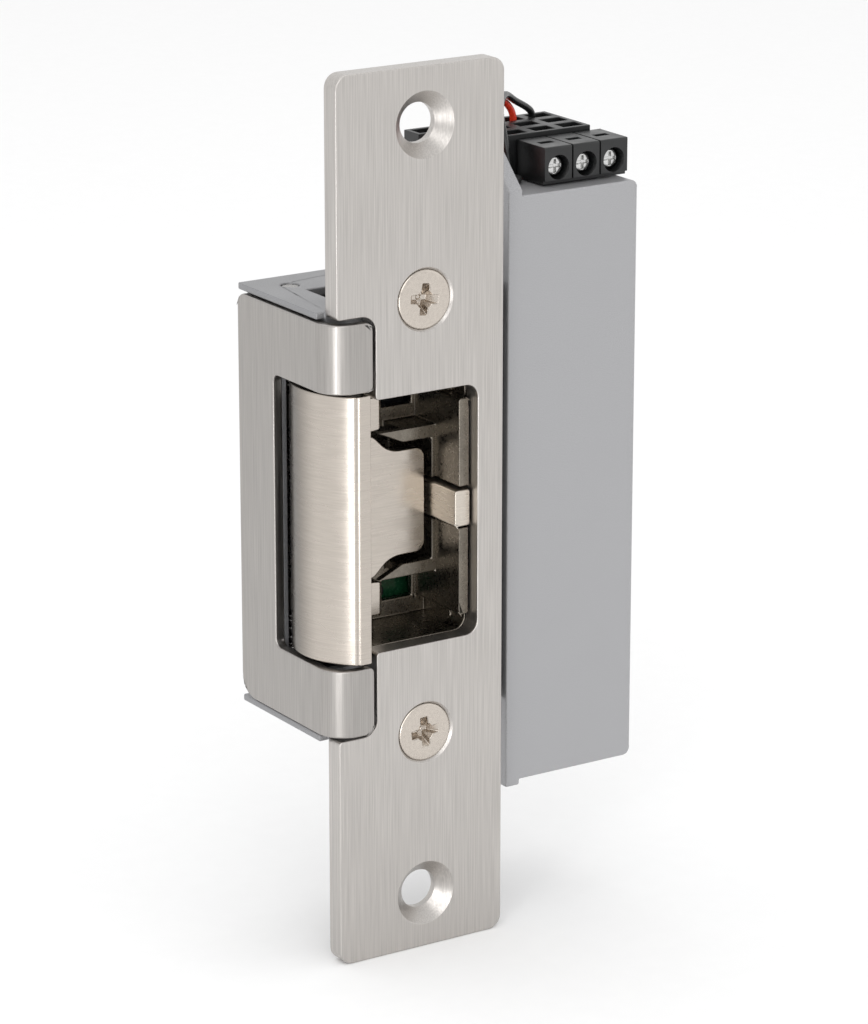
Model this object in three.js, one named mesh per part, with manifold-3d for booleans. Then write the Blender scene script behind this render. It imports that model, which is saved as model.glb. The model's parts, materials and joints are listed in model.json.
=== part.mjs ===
// Electric door strike with a swinging keeper, a lip bracket and a boxed solenoid, in millimetres.
// X runs across the faceplate, Y runs back into the door frame and Z runs up.
// The origin is the centre of the faceplate's back face.
import * as THREE from "three";
import { mergeVertices } from "three/addons/utils/BufferGeometryUtils.js";
import Module from "manifold-3d";

const wasm = await Module();
wasm.setup();

// ---------------------------------------------------------------- driving dimensions

const GAP = 0.3; // clearance between touching pieces
const SHEET = 1.5; // wall of the latch housing

const PLATE = { width: 31.75, height: 149.2, thick: 3.6, corner: 2.4 };
const HOLE = { x: 0.8, z: 65.09, radius: 3.3, sink: 5.5, sinkDepth: 2.4 };
const FACE_SCREW = { x: 0.8, z: 36.7, head: 4.95, shank: 2.35, length: 6, sinkDepth: 2.5 };
const NOTCH = { x: -8.6, half: 35.3, corner: 2.5 };
const OPENING = { right: 10.95, half: 21.3, corner: 2.2 };

const BRACKET = { left: -17.6, front: -4.6, back: 24.6, tip: -9.7, half: 34.64, thick: 1.8, bend: 4.9 };
const TAB = { outer: 1.4, inner: 0.9 }; // corner radii of the bracket's two front tabs
const SIDE_WINDOW = { half: 23.2, back: 13.5 };

const HOUSING = { left: -15.5, right: 18.4, half: 36.1, back: 25 };
const CASE = { left: 19.2, right: 45.2, half: 50.4, back: 25, wall: 1.2, corner: 1.8 };
const EAR = { width: 2.8, rise: 57, drop: 51.4, back: 9 };

const PIVOT = { x: -11, y: 18.8, pin: 1.5, hub: 3 };
const KEEPER = { half: 22.6, front: -4.4, arcX: -5, arcY: 5.5, arc: 12.3, armIn: 12.9, armOut: 18.7 };
const FLOOR = { right: 7, front: 6.3, thick: 2, half: 9, flare: 12.2 };
const HOOK = { left: 1, right: 7.7, front: 15, back: 17, half: 5 };

const LATCH_BOX = { right: 8.8, front: 5.8, half: 12.6, wall: 2, back: 21 };
const CHAMBER = { rimBack: 4.6, side: 12.2, back: 13.2, half: 22.6 };
const WINDOW = { left: 2.2, right: 8, near: 15, far: 18.4, thick: 1.2 };
const STOP = { left: 8.8, right: 10.7, front: -1.3, half: 18.5, slot: 3.5 };
const SENSOR = { left: 7.7, right: 10.65, front: -1.8, back: 9.5, half: 3.1 };

const SLIDER = { nose: 9.4, tail: 29.4, half: 2.4, front: 12.3, back: 14.5 };
const ROCKER = { x: 25.4, z: -11, arm: 11, tilt: 10.4, front: 10, back: 12 };
const COIL = { x: 36.4, y: 13.4, radius: 7.2, bottom: 5.2, top: 33 };
const PLUNGER = { radius: 3.6, top: 26, bottom: -16 };

const TERMINAL = { left: 28.3, poles: 3, pitch: 5.5, front: 3, back: 11.2, base: 50.7, top: 57 };
const HEADER = { left: 15, right: 43.2, front: 11.5, back: 25, top: 57.75, columns: 5, rows: 3, start: 26.8 };
const LEAD_RADIUS = 0.6;
const RIVET = { y: 9, z: 29, shank: 1.2, head: 2.2, thick: 0.9 };

// ---------------------------------------------------------------- materials

const finish = (color, roughness, metalness) =>
  new THREE.MeshStandardMaterial({ color, roughness, metalness });

const MATERIALS = {
  stainless: finish(0xb9b7b3, 0.38, 1),
  nickel: finish(0xb8ae9f, 0.34, 1),
  zinc: finish(0xa9a7a4, 0.45, 1),
  casting: finish(0x9d9890, 0.5, 1),
  paint: finish(0xa4a6a9, 0.5, 0.4),
  springSteel: finish(0x8e8d8b, 0.3, 1),
  blackPlastic: finish(0x17181a, 0.4, 0),
  whitePlastic: finish(0xd8d4c8, 0.5, 0),
  copper: finish(0xb4622e, 0.35, 1),
  brass: finish(0xc2a15a, 0.35, 1),
  board: finish(0x2c6b45, 0.45, 0),
  rubber: finish(0x222222, 0.8, 0),
  redPlastic: finish(0xd9381e, 0.45, 0),
};

// ---------------------------------------------------------------- shapes and booleans

const radians = THREE.MathUtils.degToRad;

// A closed outline of [x, y, corner radius] points.
function outline(points) {
  const shape = new THREE.Shape();
  points.forEach(([x, y, radius = 0], i) => {
    const before = points[(i + points.length - 1) % points.length];
    const after = points[(i + 1) % points.length];
    const here = new THREE.Vector2(x, y);
    const back = new THREE.Vector2(before[0], before[1]).sub(here).normalize();
    const ahead = new THREE.Vector2(after[0], after[1]).sub(here).normalize();
    if (radius === 0) {
      if (i === 0) shape.moveTo(x, y);
      else shape.lineTo(x, y);
      return;
    }
    const halfAngle = Math.acos(THREE.MathUtils.clamp(back.dot(ahead), -1, 1)) / 2;
    const reach = radius / Math.tan(halfAngle);
    const start = here.clone().addScaledVector(back, reach);
    const end = here.clone().addScaledVector(ahead, reach);
    const inward = back.clone().add(ahead).normalize();
    const centre = here.clone().addScaledVector(inward, radius / Math.sin(halfAngle));
    if (i === 0) shape.moveTo(start.x, start.y);
    else shape.lineTo(start.x, start.y);
    const from = start.sub(centre).angle();
    const to = end.sub(centre).angle();
    shape.absarc(centre.x, centre.y, radius, from, to, back.cross(ahead) > 0);
  });
  shape.closePath();
  return shape;
}

const rectangle = (x0, x1, y0, y1, radius = 0) =>
  outline([[x0, y0, radius], [x1, y0, radius], [x1, y1, radius], [x0, y1, radius]]);

const extruded = (shape, depth, curveSegments) =>
  new THREE.ExtrudeGeometry(shape, { depth, bevelEnabled: false, curveSegments });

// An outline in plan (x, y), raised from one z to another.
const planPiece = (shape, z0, z1, segments = 5) => extruded(shape, z1 - z0, segments).translate(0, 0, z0);

// An outline seen from the front (x, z), running from one y to another.
const frontPiece = (shape, y0, y1, segments = 5) =>
  extruded(shape, y1 - y0, segments).rotateX(Math.PI / 2).translate(0, y1, 0);

// An outline seen from the side (y, z), running from one x to another.
function sidePiece(shape, x0, x1, segments = 5) {
  const turn = new THREE.Matrix4().set(0, 0, 1, x0, 1, 0, 0, 0, 0, 1, 0, 0, 0, 0, 0, 1);
  return extruded(shape, x1 - x0, segments).applyMatrix4(turn);
}

const box = (x0, x1, y0, y1, z0, z1) =>
  new THREE.BoxGeometry(x1 - x0, y1 - y0, z1 - z0).translate((x0 + x1) / 2, (y0 + y1) / 2, (z0 + z1) / 2);

// A round bar or cone along Y: radius r0 at y0 and r1 at y1.
const barY = (x, z, y0, y1, r0, r1 = r0, sides = 24) =>
  new THREE.CylinderGeometry(r1, r0, y1 - y0, sides).translate(x, (y0 + y1) / 2, z);

const barZ = (x, y, z0, z1, radius, sides = 24) =>
  new THREE.CylinderGeometry(radius, radius, z1 - z0, sides)
    .rotateX(Math.PI / 2)
    .translate(x, y, (z0 + z1) / 2);

const barX = (y, z, x0, x1, radius, sides = 24) =>
  new THREE.CylinderGeometry(radius, radius, x1 - x0, sides)
    .rotateZ(Math.PI / 2)
    .translate((x0 + x1) / 2, y, z);

function solid(geometry) {
  const plain = geometry.clone();
  plain.deleteAttribute("normal");
  plain.deleteAttribute("uv");
  const merged = mergeVertices(plain, 1e-4);
  return new wasm.Manifold(
    new wasm.Mesh({
      numProp: 3,
      vertProperties: merged.attributes.position.array,
      triVerts: new Uint32Array(merged.index.array),
    }),
  );
}

const join = (...pieces) => pieces.map(solid).reduce((all, piece) => all.add(piece));
const cut = (base, ...tools) => tools.map(solid).reduce((rest, tool) => rest.subtract(tool), base);

function geometryOf(made) {
  const mesh = made.getMesh();
  const positions = new Float32Array(mesh.numVert * 3);
  for (let i = 0; i < mesh.numVert; i++) {
    positions.set(mesh.vertProperties.subarray(i * mesh.numProp, i * mesh.numProp + 3), i * 3);
  }
  const geometry = new THREE.BufferGeometry();
  geometry.setAttribute("position", new THREE.BufferAttribute(positions, 3));
  geometry.setIndex(new THREE.BufferAttribute(mesh.triVerts, 1));
  geometry.computeVertexNormals();
  return geometry;
}

// A wire of the given radius along a curve, with closed ends.
function wire(curve, radius, steps, sides) {
  const section = new THREE.Shape();
  for (let i = 0; i < sides; i++) {
    const angle = (2 * Math.PI * i) / sides;
    if (i === 0) section.moveTo(radius, 0);
    else section.lineTo(radius * Math.cos(angle), radius * Math.sin(angle));
  }
  section.closePath();
  return new THREE.ExtrudeGeometry(section, { steps, extrudePath: curve, bevelEnabled: false });
}

class Helix extends THREE.Curve {
  constructor(radius, length, turns) {
    super();
    Object.assign(this, { radius, length, turns });
  }
  getPoint(t, target = new THREE.Vector3()) {
    const angle = 2 * Math.PI * this.turns * t;
    return target.set(this.radius * Math.cos(angle), this.radius * Math.sin(angle), this.length * t);
  }
}

// A coil spring standing on the XY plane along Z.
const SPRING_STEPS = 9;
const SPRING_SIDES = 5;
const spring = (radius, length, turns, wireRadius) =>
  wire(new Helix(radius, length, turns), wireRadius, turns * SPRING_STEPS, SPRING_SIDES);

const root = new THREE.Group();

// Adds one named piece; a boolean result is turned back into a geometry first.
function add(name, shape, material, parent = root) {
  const geometry = shape.isBufferGeometry ? shape : geometryOf(shape);
  const mesh = new THREE.Mesh(geometry, MATERIALS[material]);
  mesh.name = name;
  parent.add(mesh);
  return mesh;
}

const upperAndLower = [["upper", 1], ["lower", -1]];
const span = (a, b) => [Math.min(a, b), Math.max(a, b)];

// ---------------------------------------------------------------- faceplate, its screws and the lip bracket

function faceplate() {
  const { width, height, thick, corner } = PLATE;
  const x = width / 2;
  const z = height / 2;
  const edge = outline([
    [-x, -z, corner],
    [x, -z, corner],
    [x, z, corner],
    [-x, z, corner],
    [-x, NOTCH.half, 0.8],
    [NOTCH.x, NOTCH.half, NOTCH.corner],
    [NOTCH.x, OPENING.half, 0.6],
    [OPENING.right, OPENING.half, OPENING.corner],
    [OPENING.right, -OPENING.half, OPENING.corner],
    [NOTCH.x, -OPENING.half, 0.6],
    [NOTCH.x, -NOTCH.half, NOTCH.corner],
    [-x, -NOTCH.half, 0.8],
  ]);
  const tools = [];
  for (const [, side] of upperAndLower) {
    const sunk = -thick + HOLE.sinkDepth;
    tools.push(barY(HOLE.x, side * HOLE.z, -thick - 0.01, sunk, HOLE.sink, HOLE.radius, 32));
    tools.push(barY(HOLE.x, side * HOLE.z, sunk - 0.1, 1, HOLE.radius, HOLE.radius, 32));
    const seat = -thick + FACE_SCREW.sinkDepth;
    const rim = FACE_SCREW.head + 0.2;
    const shankHole = FACE_SCREW.shank + GAP;
    tools.push(barY(FACE_SCREW.x, side * FACE_SCREW.z, -thick - 0.01, seat, rim, shankHole, 24));
    tools.push(barY(FACE_SCREW.x, side * FACE_SCREW.z, seat - 0.1, 1, shankHole, shankHole, 24));
  }
  return cut(join(frontPiece(edge, -thick, 0)), ...tools);
}

// A flat-head screw with a cross recess, its head a little below the plate's face.
function faceScrew(side) {
  const z = side * FACE_SCREW.z;
  const top = -PLATE.thick + 0.15;
  const neck = top + FACE_SCREW.sinkDepth - 0.3;
  const head = barY(FACE_SCREW.x, z, top, neck, FACE_SCREW.head, FACE_SCREW.shank, 32);
  const shank = barY(FACE_SCREW.x, z, neck - 0.1, FACE_SCREW.length, FACE_SCREW.shank, FACE_SCREW.shank, 16);
  const reach = 2.7;
  const slot = 0.6;
  const depth = top + 1.7;
  return cut(
    join(head, shank),
    box(FACE_SCREW.x - reach, FACE_SCREW.x + reach, top - 1, depth, z - slot, z + slot),
    box(FACE_SCREW.x - slot, FACE_SCREW.x + slot, top - 1, depth, z - reach, z + reach),
  );
}

function lipBracket() {
  const { left, front, back, tip, half, thick, bend } = BRACKET;
  const profile = outline([
    [tip, front, 0.3],
    [tip, front + thick, 0.3],
    [left + thick, front + thick, bend - thick],
    [left + thick, back],
    [left, back, 0.3],
    [left, front, bend],
  ]);
  const full = planPiece(profile, -half, half, 8);
  const opening = outline([
    [front - 5, -SIDE_WINDOW.half],
    [SIDE_WINDOW.back, -SIDE_WINDOW.half, 1.3],
    [SIDE_WINDOW.back, SIDE_WINDOW.half, 1.3],
    [front - 5, SIDE_WINDOW.half],
  ]);
  const corners = outline([
    [front - 5, -half, 0],
    [back, -half, 4],
    [back, half, 2],
    [front - 5, half, 0],
  ]);
  const stem = left + thick + 0.4;
  const tabs = outline([
    [left - 1, -half],
    [tip, -half, TAB.outer],
    [tip, -SIDE_WINDOW.half, TAB.inner],
    [stem, -SIDE_WINDOW.half],
    [stem, SIDE_WINDOW.half],
    [tip, SIDE_WINDOW.half, TAB.inner],
    [tip, half, TAB.outer],
    [left - 1, half],
  ]);
  const through = [left - 5, tip + 5];
  const sides = solid(full).intersect(solid(sidePiece(corners, ...through)));
  return cut(
    sides.intersect(solid(frontPiece(tabs, front - 1, back + 1))),
    sidePiece(opening, ...through),
  );
}

add("faceplate", faceplate(), "stainless");
for (const [where, side] of upperAndLower) add(`faceplate_screw_${where}`, faceScrew(side), "nickel");
add("lip_bracket", lipBracket(), "stainless");

// ---------------------------------------------------------------- latch housing behind the faceplate

// A box open at the front, with ears for the faceplate screws and slots for the keeper and the slider.
function latchHousing() {
  const { left, right, half, back } = HOUSING;
  const lip = 1.7;
  const ear = { x0: -4.8, x1: 6.4, in: 32.5, out: 41.5, back: 7.5 };
  const pieces = [box(left, right, GAP, back, -half, half)];
  for (const [, side] of upperAndLower) {
    pieces.push(box(ear.x0, ear.x1, GAP, ear.back, ...span(side * ear.in, side * ear.out)));
    const lipSpan = span(side * (BRACKET.half + GAP), side * half);
    pieces.push(box(left - lip, left + 1, GAP + 0.2, back, ...lipSpan));
  }
  const inside = box(left + 1, right - SHEET, GAP + SHEET, back - SHEET, SHEET - half, half - SHEET);
  const mouth = box(-8.9, 14.3, -1, 5, -25.3, 25.3);
  const keeperWay = box(left - 5, -8, -1, 14.2, -24, 24);
  const sliderWay = box(right - 3, right + 1, 11.5, 15.3, -3.2, 3.2);
  const leadWay = box(right - 3, right + 1, 16.5, 21, 8, 13);
  const topSlot = box(-10.3, -4, 8, 14.8, half - 3, half + 1);
  const tools = [inside, mouth, keeperWay, sliderWay, leadWay, topSlot];
  for (const [, side] of upperAndLower) {
    tools.push(barX(RIVET.y, side * RIVET.z, right - 3, right + 1, RIVET.shank + 0.2, 16));
    const hole = FACE_SCREW.shank + 0.25;
    tools.push(barY(FACE_SCREW.x, side * FACE_SCREW.z, -1, FACE_SCREW.length + GAP, hole, hole, 20));
    const wall = side * (half - SHEET / 2);
    tools.push(barZ(PIVOT.x, PIVOT.y, wall - SHEET, wall + SHEET, PIVOT.pin + 0.08, 20));
  }
  return cut(join(...pieces), ...tools);
}

// The cast frame: a deep rim round the opening, the latch stop at its right, the walls of the chamber
// behind the rim, and the box round the keeper's floor.
function latchFrame() {
  const { right, front, half, wall, back } = LATCH_BOX;
  const { rimBack, side: chamberSide, back: chamberBack, half: chamberHalf } = CHAMBER;
  const barDepth = 1.5;
  const rimOpening = outline([
    [-20, -OPENING.half - 0.1],
    [OPENING.right - 0.05, -OPENING.half - 0.1, 2],
    [OPENING.right - 0.05, OPENING.half + 0.1, 2],
    [-20, OPENING.half + 0.1],
  ]);
  const rim = cut(join(box(-8.5, 14, GAP, rimBack, -25, 25)), frontPiece(rimOpening, -1, rimBack + 1));
  const stopEdge = rectangle(STOP.left, STOP.right, -STOP.half, STOP.half, 0.5);
  const pieces = [
    frontPiece(stopEdge, STOP.front, chamberBack, 3),
    box(STOP.right - 0.5, 14, GAP, rimBack, -STOP.half, STOP.half),
    box(STOP.right - 0.2, chamberSide, rimBack - 0.5, chamberBack, -chamberHalf, chamberHalf),
    box(STOP.left, STOP.right, front, back, -half, half),
    box(-1, STOP.right, back - wall, back, -half, half),
  ];
  for (const [, side] of upperAndLower) {
    const bar = outline([
      [-2.3, side * half],
      [2.6, side * (half - 2.2), 2.5],
      [right + 0.5, side * (half - 2.2)],
      [right + 0.5, side * half],
    ]);
    const edge = side * (OPENING.half + 0.1);
    pieces.push(frontPiece(bar, front, front + barDepth, 6));
    pieces.push(box(2.6, right + 0.5, front, back, ...span(side * (half - 1.6), side * half)));
    pieces.push(box(right - 0.7, right + 0.2, front, back, ...span(side * STOP.slot, side * half)));
    pieces.push(box(-8.5, chamberSide, rimBack - 0.5, chamberBack, ...span(edge, side * chamberHalf)));
    const level = span(side * (half - 1), side * chamberHalf);
    pieces.push(box(0.2, chamberSide, chamberBack - WINDOW.thick, chamberBack, ...level));
  }
  const windows = upperAndLower.map(([, side]) =>
    box(WINDOW.left, WINDOW.right, 5, 30, ...span(side * WINDOW.near, side * WINDOW.far)),
  );
  const slot = box(right - 2, 20, -5, 16, -STOP.slot, STOP.slot);
  return cut(rim.add(join(...pieces)), slot, ...windows);
}

add("latch_housing", latchHousing(), "zinc");
add("latch_frame", latchFrame(), "casting");

// ---------------------------------------------------------------- keeper on its pivot pin

// The keeper: a quarter-round outer wall, a floor behind the latch, two arms to the pivot and a locking hook.
function keeper() {
  const { half, front, arcX, arcY, arc, armIn, armOut } = KEEPER;
  const wall = new THREE.Shape();
  const crease = Math.atan2(front - arcY, -12.3 - arcX);
  wall.moveTo(-10, front);
  wall.lineTo(arcX + arc * Math.cos(crease), front);
  wall.absarc(arcX, arcY, arc, crease, radians(-206), true);
  wall.lineTo(-14, 10.4);
  wall.lineTo(-11.4, 5);
  wall.closePath();

  const arm = outline([
    [-14.6, 6],
    [-1.2, 6.6, 0.8],
    [-0.6, 9.5, 0.8],
    [-8.4, 20, 0],
    [PIVOT.x, PIVOT.y],
    [-9.6, 11, 0.6],
    [-15.4, 9.2, 0],
  ]);
  const floorEdge = outline([
    [-12.5, -FLOOR.flare],
    [-3, -FLOOR.flare],
    [0.2, -FLOOR.half, 5],
    [FLOOR.right, -FLOOR.half, 1.8],
    [FLOOR.right, FLOOR.half, 1.8],
    [0.2, FLOOR.half, 5],
    [-3, FLOOR.flare],
    [-12.5, FLOOR.flare],
  ]);
  const pieces = [
    planPiece(wall, -half, half, 10),
    frontPiece(floorEdge, FLOOR.front, FLOOR.front + FLOOR.thick),
    box(-12.5, -9, FLOOR.front, FLOOR.front + 3, -armIn - 1, armIn + 1),
    box(HOOK.left, HOOK.left + 2.2, FLOOR.front + 1, HOOK.back, -HOOK.half, HOOK.half),
    box(HOOK.left, HOOK.right, HOOK.front, HOOK.back, -HOOK.half, HOOK.half),
  ];
  const arms = [];
  for (const [, side] of upperAndLower) {
    const level = span(side * armIn, side * armOut);
    const tip = outline([
      [-20, side * armIn],
      [-0.6, side * armIn, 1.6],
      [-0.6, side * armOut, 0.5],
      [-20, side * armOut],
    ]);
    const rounded = solid(planPiece(arm, ...level)).intersect(solid(frontPiece(tip, 0, 30)));
    arms.push(rounded.add(solid(barZ(PIVOT.x, PIVOT.y, ...level, PIVOT.hub))));
  }
  const body = arms.reduce((all, piece) => all.add(piece), join(...pieces));
  return cut(body, barZ(PIVOT.x, PIVOT.y, -half, half, PIVOT.pin + 0.08));
}

const TORSION = { radius: 2.3, turns: 6, wire: 0.35, from: 19.2, to: 26 };

add("keeper", keeper(), "nickel");
const pinEnd = HOUSING.half - 0.2;
add("keeper_pivot_pin", barZ(PIVOT.x, PIVOT.y, -pinEnd, pinEnd, PIVOT.pin), "springSteel");
for (const [where, side] of upperAndLower) {
  const coil = spring(TORSION.radius, TORSION.to - TORSION.from, TORSION.turns, TORSION.wire);
  const mesh = add(`keeper_spring_${where}`, coil, "springSteel");
  mesh.position.set(PIVOT.x, PIVOT.y, side > 0 ? TORSION.from : -TORSION.to);
}

// ---------------------------------------------------------------- latch sensor: arm, spring and switch

const SENSOR_LEG = { x0: 12.7, x1: 16, front: 6.5, low: -10, high: 12 };
const SWITCH = { x0: 12, x1: 16.4, front: 14, back: 21, low: 5, high: 19, pivotY: 13, pivotZ: 17 };

function sensorArm() {
  const { left, right, front, back, half } = SENSOR;
  const tip = frontPiece(rectangle(left, right, -half, half, 0.5), front, back, 3);
  const bridge = box(right - 1, SENSOR_LEG.x1, 5.2, back, -half, half);
  const leg = box(SENSOR_LEG.x0, SENSOR_LEG.x1, SENSOR_LEG.front, back, SENSOR_LEG.low, SENSOR_LEG.high);
  return join(tip, bridge, leg);
}

function switchLever() {
  const { x0, x1, pivotY, pivotZ } = SWITCH;
  const reach = pivotZ - 6;
  const blade = box(x0 + 0.8, x1 - 0.8, -0.25, 0.25, -reach, 0);
  const knuckle = barX(0, 0, x0 + 0.8, x1 - 0.8, 0.6, 12);
  const made = geometryOf(join(blade, knuckle));
  const lean = Math.asin((pivotY - SENSOR.back - 0.3 - 0.25) / reach);
  return made.rotateX(-lean).translate(0, pivotY, pivotZ);
}

add("latch_sensor_arm", sensorArm(), "stainless");
const sensorSpring = add("sensor_spring", spring(1.3, 13, 8, 0.25), "springSteel");
sensorSpring.rotation.x = -Math.PI / 2;
sensorSpring.position.set(14.3, SENSOR.back + 0.5, -7.5);
const switchBody = box(SWITCH.x0, SWITCH.x1, SWITCH.front, SWITCH.back, SWITCH.low, SWITCH.high);
add("sensor_switch", switchBody, "blackPlastic");
add("sensor_switch_lever", switchLever(), "springSteel");
add("circuit_board", box(0, 15.4, 15, 16.6, -32, -13.8), "board");

// ---------------------------------------------------------------- locking slider, rocker and solenoid

// The slider's nose moves in front of the keeper's hook to lock it; its pin stands in the rocker's fork.
function lockingSlider() {
  const { nose, tail, half, front, back } = SLIDER;
  const pinX = ROCKER.x + ROCKER.arm * Math.sin(radians(ROCKER.tilt));
  const bar = frontPiece(
    outline([[nose, -half, 0.5], [tail, -half, 1], [tail, half, 1], [nose, half, 0.5]]),
    front,
    back,
    3,
  );
  return join(bar, barY(pinX, 0, ROCKER.front - 0.6, front + 0.5, 1.2, 1.2, 16));
}

// A bell crank: one fork down to the plunger's pin and one up to the slider's pin.
function rocker() {
  const { x, z, arm, tilt, front, back } = ROCKER;
  const width = 2.4;
  const slot = 1.5;
  const tip = arm + 2.4;
  const crank = frontPiece(
    outline([
      [-width, -width, 2],
      [tip, -width, 1],
      [tip, width, 1],
      [width, width, 1.5],
      [width, tip, 1],
      [-width, tip, 1],
    ]),
    front,
    back,
    4,
  );
  const made = cut(
    join(crank),
    box(arm - 1.6, tip + 1, front - 1, back + 1, -slot, slot),
    box(-slot, slot, front - 1, back + 1, arm - 1.6, tip + 1),
    barY(0, 0, front - 1, back + 1, 1.58, 1.58, 20),
  );
  return geometryOf(made).rotateY(radians(tilt)).translate(x, 0, z);
}

function plunger() {
  const { x, y } = COIL;
  const { radius, top, bottom } = PLUNGER;
  const pinZ = ROCKER.z - ROCKER.arm * Math.sin(radians(ROCKER.tilt));
  const flat = box(x - 5, x + 5, 5, ROCKER.back + GAP, bottom - 1, -6.5);
  const collar = barZ(x, y, -4.2, -3.2, radius + 1.4);
  const rod = cut(join(barZ(x, y, bottom, top, radius), collar), flat);
  return rod.add(solid(barY(x, pinZ, ROCKER.front - 0.6, y, 1.2, 1.2, 16)));
}

// A U-shaped frame round the coil: top, back and bottom plates of one bent strip.
function solenoidYoke() {
  const { x, y, radius, bottom, top } = COIL;
  const plate = 1.8;
  const rear = y + radius + GAP + plate;
  const profile = outline([
    [y - 7, bottom - GAP - plate],
    [rear, bottom - GAP - plate, 1.5],
    [rear, top + GAP + plate, 1.5],
    [y - 7, top + GAP + plate],
    [y - 7, top + GAP],
    [rear - plate, top + GAP],
    [rear - plate, bottom - GAP],
    [y - 7, bottom - GAP],
  ]);
  const stop = barZ(x, y, PLUNGER.top + 4.6, top + 1, 3.3);
  const hole = barZ(x, y, bottom - 5, bottom + 1, PLUNGER.radius + 0.1);
  return cut(join(sidePiece(profile, x - radius, x + radius), stop), hole);
}

// A spool with a flange at each end; the winding fills the waist.
function coilBobbin() {
  const { x, y, radius, bottom, top } = COIL;
  const flange = 1.2;
  const bore = barZ(x, y, bottom - 1, top + 1, PLUNGER.radius + 0.1);
  return cut(
    join(
      barZ(x, y, bottom, top, PLUNGER.radius + 0.9),
      barZ(x, y, bottom, bottom + flange, radius, 32),
      barZ(x, y, top - flange, top, radius, 32),
    ),
    bore,
  );
}

function coilWinding() {
  const { x, y, radius, bottom, top } = COIL;
  return cut(
    join(barZ(x, y, bottom + 1.4, top - 1.4, radius - 0.5, 32)),
    barZ(x, y, bottom, top, PLUNGER.radius + 1.2),
  );
}

function rockerPin() {
  const { x, z } = ROCKER;
  return join(
    barY(x, z, ROCKER.front - 1.3, ROCKER.front - GAP, 2.4, 2.4, 20),
    barY(x, z, ROCKER.front - 1, 22.4, 1.5, 1.5, 20),
  );
}

add("locking_slider", lockingSlider(), "springSteel");
add("rocker", rocker(), "stainless");
add("rocker_pin", rockerPin(), "springSteel");
add("plunger", plunger(), "nickel");
const returnSpring = add("plunger_spring", spring(4.3, 4.6, 4, 0.25), "springSteel");
returnSpring.position.set(COIL.x, COIL.y, -2.6);
add("solenoid_yoke", solenoidYoke(), "zinc");
add("coil_bobbin", coilBobbin(), "whitePlastic");
add("coil_winding", coilWinding(), "copper");

// ---------------------------------------------------------------- solenoid case

// A box open at the back, with an ear at its left end that stands above and below it.
function solenoidCase() {
  const { left, right, half, back, wall, corner } = CASE;
  const section = outline([[left, 0, 0.8], [right, 0, 1.2], [right, back], [left, back]]);
  const front = outline([[left, -half], [right, -half, corner], [right, half, corner], [left, half]]);
  const shell = solid(planPiece(section, -half, half, 4)).intersect(solid(frontPiece(front, -1, back + 1)));
  const ear = outline([
    [0, -EAR.drop, 0.4],
    [0, half + 0.9, 0.4],
    [EAR.rise - half - 0.9, EAR.rise, 0.6],
    [EAR.back, EAR.rise, 0.6],
    [EAR.back, -EAR.drop, 0.4],
  ]);
  const inside = box(left + wall, right - wall, wall, back + 1, wall - half, half - wall);
  const sliderWay = box(left - 1, left + 3.5, 11.5, 15.3, -3.2, 3.2);
  const leadWay = box(left - 1, left + 3.5, 16.5, 21, 8, 13);
  const leadHole = barZ(GROMMET.x, GROMMET.y, half - 3, half + 1, GROMMET.neck + 0.15, 20);
  const bare = cut(shell.add(solid(sidePiece(ear, left, left + EAR.width))), inside);
  const rivetHoles = upperAndLower.map(([, side]) =>
    barX(RIVET.y, side * RIVET.z, left - 1, left + EAR.width + 1, RIVET.shank + 0.2, 16),
  );
  return cut(bare, sliderWay, leadWay, leadHole, ...rivetHoles);
}

// A rivet through the two neighbouring walls holds the case to the latch housing.
function caseRivet(side) {
  const z = side * RIVET.z;
  const inner = HOUSING.right - SHEET - GAP;
  const outer = CASE.left + CASE.wall + GAP;
  return join(
    barX(RIVET.y, z, inner - RIVET.thick, inner, RIVET.head, 20),
    barX(RIVET.y, z, inner - 0.1, outer + 0.1, RIVET.shank, 12),
    barX(RIVET.y, z, outer, outer + RIVET.thick, RIVET.head, 20),
  );
}

const GROMMET = { x: 25, y: 9.5, neck: 1.9, flange: 2.6, bore: 1.35 };

function grommet() {
  const { x, y, neck, flange, bore } = GROMMET;
  const outside = CASE.half + GAP;
  const insideFace = CASE.half - CASE.wall - GAP;
  return cut(
    join(
      barZ(x, y, insideFace - 0.8, outside + 0.8, neck, 20),
      barZ(x, y, outside, outside + 0.8, flange, 20),
      barZ(x, y, insideFace - 0.8, insideFace, flange, 20),
    ),
    barZ(x, y, 40, 60, bore, 16),
  );
}

const COVER_SCREW = { x: 32.2, z: 46, radius: 1.25, hole: 1.45, head: 2.4 };
const coverScrewHole = (side, y0, y1) =>
  barY(COVER_SCREW.x, side * COVER_SCREW.z, y0, y1, COVER_SCREW.hole, COVER_SCREW.hole, 16);

// The rear cover slides into the open back of the case; two tapped lugs stand on its inner face.
function rearCover() {
  const { left, right, half, back, wall } = CASE;
  const inset = wall + GAP;
  const plate = box(left + inset, right - inset, back - 1.5, back, inset - half, half - inset);
  const holes = upperAndLower.map(([, side]) => coverScrewHole(side, back - 3, back + 1));
  const pinHole = barY(ROCKER.x, ROCKER.z, back - 3, back + 1, 1, 1, 12);
  return cut(join(plate), ...holes, pinHole);
}

// A lug inside the case at each end takes the cover's screw.
function coverLug(side) {
  const { half, back, wall } = CASE;
  const block = box(
    COVER_SCREW.x - 4,
    COVER_SCREW.x + 4,
    back - 10,
    back - 1.5 - GAP,
    ...span(side * (half - wall - GAP), side * (half - 8)),
  );
  return cut(join(block), coverScrewHole(side, back - 20, back));
}

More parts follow.
